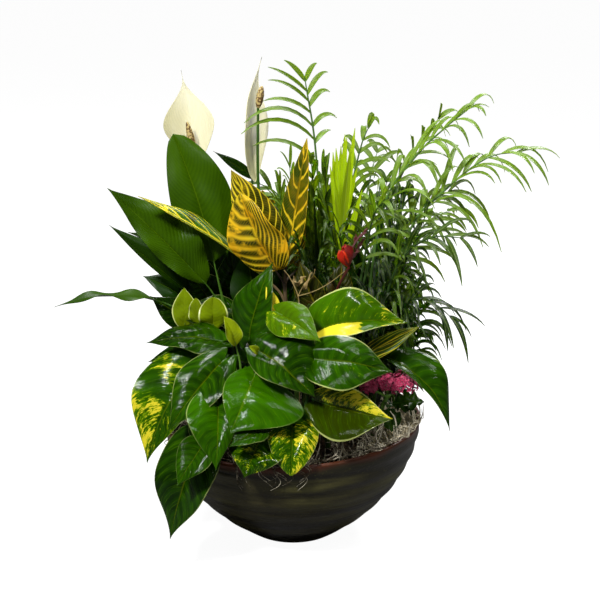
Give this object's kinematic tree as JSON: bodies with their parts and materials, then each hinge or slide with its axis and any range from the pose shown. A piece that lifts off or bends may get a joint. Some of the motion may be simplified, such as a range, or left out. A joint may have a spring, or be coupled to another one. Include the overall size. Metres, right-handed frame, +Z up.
{
  "type": "potted tropical arrangement",
  "caption": "Dish garden of peace lily, croton, golden pothos, parlour palm and kalanchoe in a round dark glazed bowl, dressed with moss.",
  "frame": {"origin": "the middle of the bowl's flat foot, on the surface it stands on", "axes": "+Z up through the bowl's axis, -Y towards the viewer of the picture, +X towards its right"},
  "size_m": [0.4766, 0.3846, 0.4682],
  "materials": {
    "bowl_glaze": "satin",
    "soil_earth": "matte",
    "moss": "matte",
    "lily_leaf": "satin",
    "lily_stalk": "satin",
    "spathe": "satin",
    "spadix": "matte",
    "croton_leaf": "satin",
    "pothos_leaf": "gloss",
    "palm_leaf": "satin",
    "palm_fresh": "satin",
    "kalanchoe_leaf": "satin",
    "kalanchoe_bloom": "matte",
    "red_stem": "matte",
    "red_petal": "satin"
  },
  "bodies": {
    "root": {"bowl": "bowl_glaze", "soil": "soil_earth", "moss_mat": "moss", "peace_lily_leaf_1": "lily_leaf", "peace_lily_leaf_2": "lily_leaf", "peace_lily_leaf_3": "lily_leaf", "peace_lily_leaf_4": "lily_leaf", "peace_lily_leaf_5": "lily_leaf", "peace_lily_leaf_6": "lily_leaf", "peace_lily_leaf_7": "lily_leaf", "peace_lily_leaf_8": "lily_leaf", "peace_lily_leaf_9": "lily_leaf", "peace_lily_leaf_10": "lily_leaf", "peace_lily_stalk_1": "lily_stalk", "peace_lily_stalk_2": "lily_stalk", "spathe_1": "spathe", "spathe_2": "spathe", "spadix_1": "spadix", "spadix_2": "spadix", "croton_stem_1": "croton_leaf", "croton_stem_2": "croton_leaf", "croton_stem_3": "croton_leaf", "pothos_vine_1": "pothos_leaf", "pothos_vine_2": "pothos_leaf", "pothos_vine_3": "pothos_leaf", "pothos_vine_4": "pothos_leaf", "pothos_vine_5": "pothos_leaf", "pothos_vine_6": "pothos_leaf", "pothos_vine_7": "pothos_leaf", "pothos_vine_8": "pothos_leaf", "palm_frond_01": "palm_leaf", "palm_frond_02": "palm_leaf", "palm_frond_03": "palm_leaf", "palm_frond_04": "palm_leaf", "palm_frond_05": "palm_leaf", "palm_frond_06": "palm_fresh", "palm_frond_07": "palm_leaf", "palm_frond_08": "palm_leaf", "palm_frond_09": "palm_leaf", "palm_frond_10": "palm_leaf", "palm_frond_11": "palm_leaf", "palm_frond_12": "palm_leaf", "palm_frond_13": "palm_leaf", "palm_frond_14": "palm_leaf", "palm_frond_15": "palm_leaf", "palm_frond_16": "palm_leaf", "kalanchoe_stem": "kalanchoe_leaf", "kalanchoe_head_1": "kalanchoe_bloom", "kalanchoe_head_2": "kalanchoe_bloom", "kalanchoe_head_3": "kalanchoe_bloom", "red_bloom_stem": "red_stem", "red_bloom": "red_petal"}
  },
  "joints": []
}
